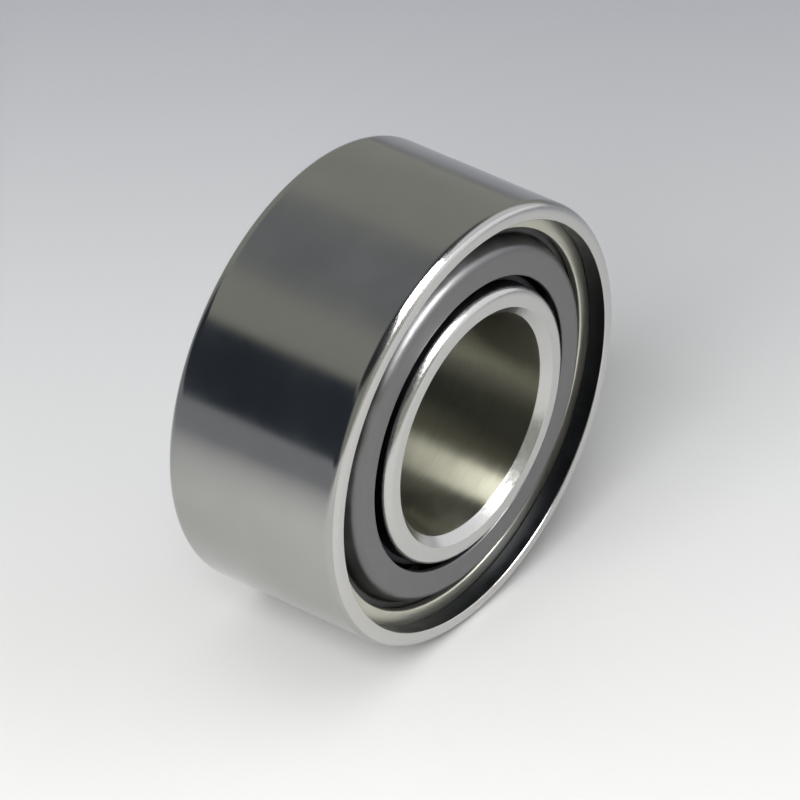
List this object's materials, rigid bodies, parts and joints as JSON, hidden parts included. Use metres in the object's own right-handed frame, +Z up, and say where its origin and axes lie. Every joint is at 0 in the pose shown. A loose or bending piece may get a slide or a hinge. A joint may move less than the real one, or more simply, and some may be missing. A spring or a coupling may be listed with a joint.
{
  "type": "ball bearing",
  "caption": "Miniature deep-groove ball bearing, shielded at both ends; the inner ring turns in the outer ring on caged balls.",
  "frame": {"origin": "centre of the bearing, on its axis, midway between its two end faces", "axes": "+Y along the bearing's axis, from the front end to the rear end; +Z up, with the bearing standing on its rim; +X to the right as seen from the front"},
  "size_m": [0.0064, 0.0028, 0.0064],
  "materials": {
    "ring_steel": "ground chrome steel",
    "shield_steel": "satin pressed steel sheet",
    "spring_steel": "rolled spring steel",
    "cage_steel": "pressed steel sheet",
    "ball_steel": "lapped mirror polish"
  },
  "bodies": {
    "outer": {"outer_ring": "ring_steel", "front_shield": "shield_steel", "rear_shield": "shield_steel", "front_snap_ring": "spring_steel", "rear_snap_ring": "spring_steel"},
    "inner": {"inner_ring": "ring_steel"},
    "cage": {"cage_front": "cage_steel", "cage_rear": "cage_steel"},
    "ball_1": {"ball_1": "ball_steel"},
    "ball_2": {"ball_2": "ball_steel"},
    "ball_3": {"ball_3": "ball_steel"},
    "ball_4": {"ball_4": "ball_steel"},
    "ball_5": {"ball_5": "ball_steel"},
    "ball_6": {"ball_6": "ball_steel"},
    "ball_7": {"ball_7": "ball_steel"}
  },
  "joints": [
    {"name": "inner_ring_spin", "type": "hinge", "parent": "outer", "child": "inner", "pos_m": [0, 0, 0], "axis": [0, 1, 0], "continuous": true},
    {"name": "cage_spin", "type": "hinge", "parent": "outer", "child": "cage", "pos_m": [0, 0, 0], "axis": [0, 1, 0], "continuous": true},
    {"name": "ball_1_spin", "type": "hinge", "parent": "cage", "child": "ball_1", "pos_m": [0, 0, 0.00238], "axis": [0, 1, 0], "continuous": true},
    {"name": "ball_2_spin", "type": "hinge", "parent": "cage", "child": "ball_2", "pos_m": [-0.00186, 0, 0.00148], "axis": [0, 1, 0], "continuous": true},
    {"name": "ball_3_spin", "type": "hinge", "parent": "cage", "child": "ball_3", "pos_m": [-0.00232, 0, -0.00053], "axis": [0, 1, 0], "continuous": true},
    {"name": "ball_4_spin", "type": "hinge", "parent": "cage", "child": "ball_4", "pos_m": [-0.00103, 0, -0.00215], "axis": [0, 1, 0], "continuous": true},
    {"name": "ball_5_spin", "type": "hinge", "parent": "cage", "child": "ball_5", "pos_m": [0.00103, 0, -0.00215], "axis": [0, 1, 0], "continuous": true},
    {"name": "ball_6_spin", "type": "hinge", "parent": "cage", "child": "ball_6", "pos_m": [0.00232, 0, -0.00053], "axis": [0, 1, 0], "continuous": true},
    {"name": "ball_7_spin", "type": "hinge", "parent": "cage", "child": "ball_7", "pos_m": [0.00186, 0, 0.00148], "axis": [0, 1, 0], "continuous": true}
  ],
  "couplings": [
    {"joint": "cage_spin", "follows": "inner_ring_spin", "ratio": 0.39501},
    {"joint": "ball_1_spin", "follows": "inner_ring_spin", "ratio": -2.2763},
    {"joint": "ball_2_spin", "follows": "inner_ring_spin", "ratio": -2.2763},
    {"joint": "ball_3_spin", "follows": "inner_ring_spin", "ratio": -2.2763},
    {"joint": "ball_4_spin", "follows": "inner_ring_spin", "ratio": -2.2763},
    {"joint": "ball_5_spin", "follows": "inner_ring_spin", "ratio": -2.2763},
    {"joint": "ball_6_spin", "follows": "inner_ring_spin", "ratio": -2.2763},
    {"joint": "ball_7_spin", "follows": "inner_ring_spin", "ratio": -2.2763}
  ]
}
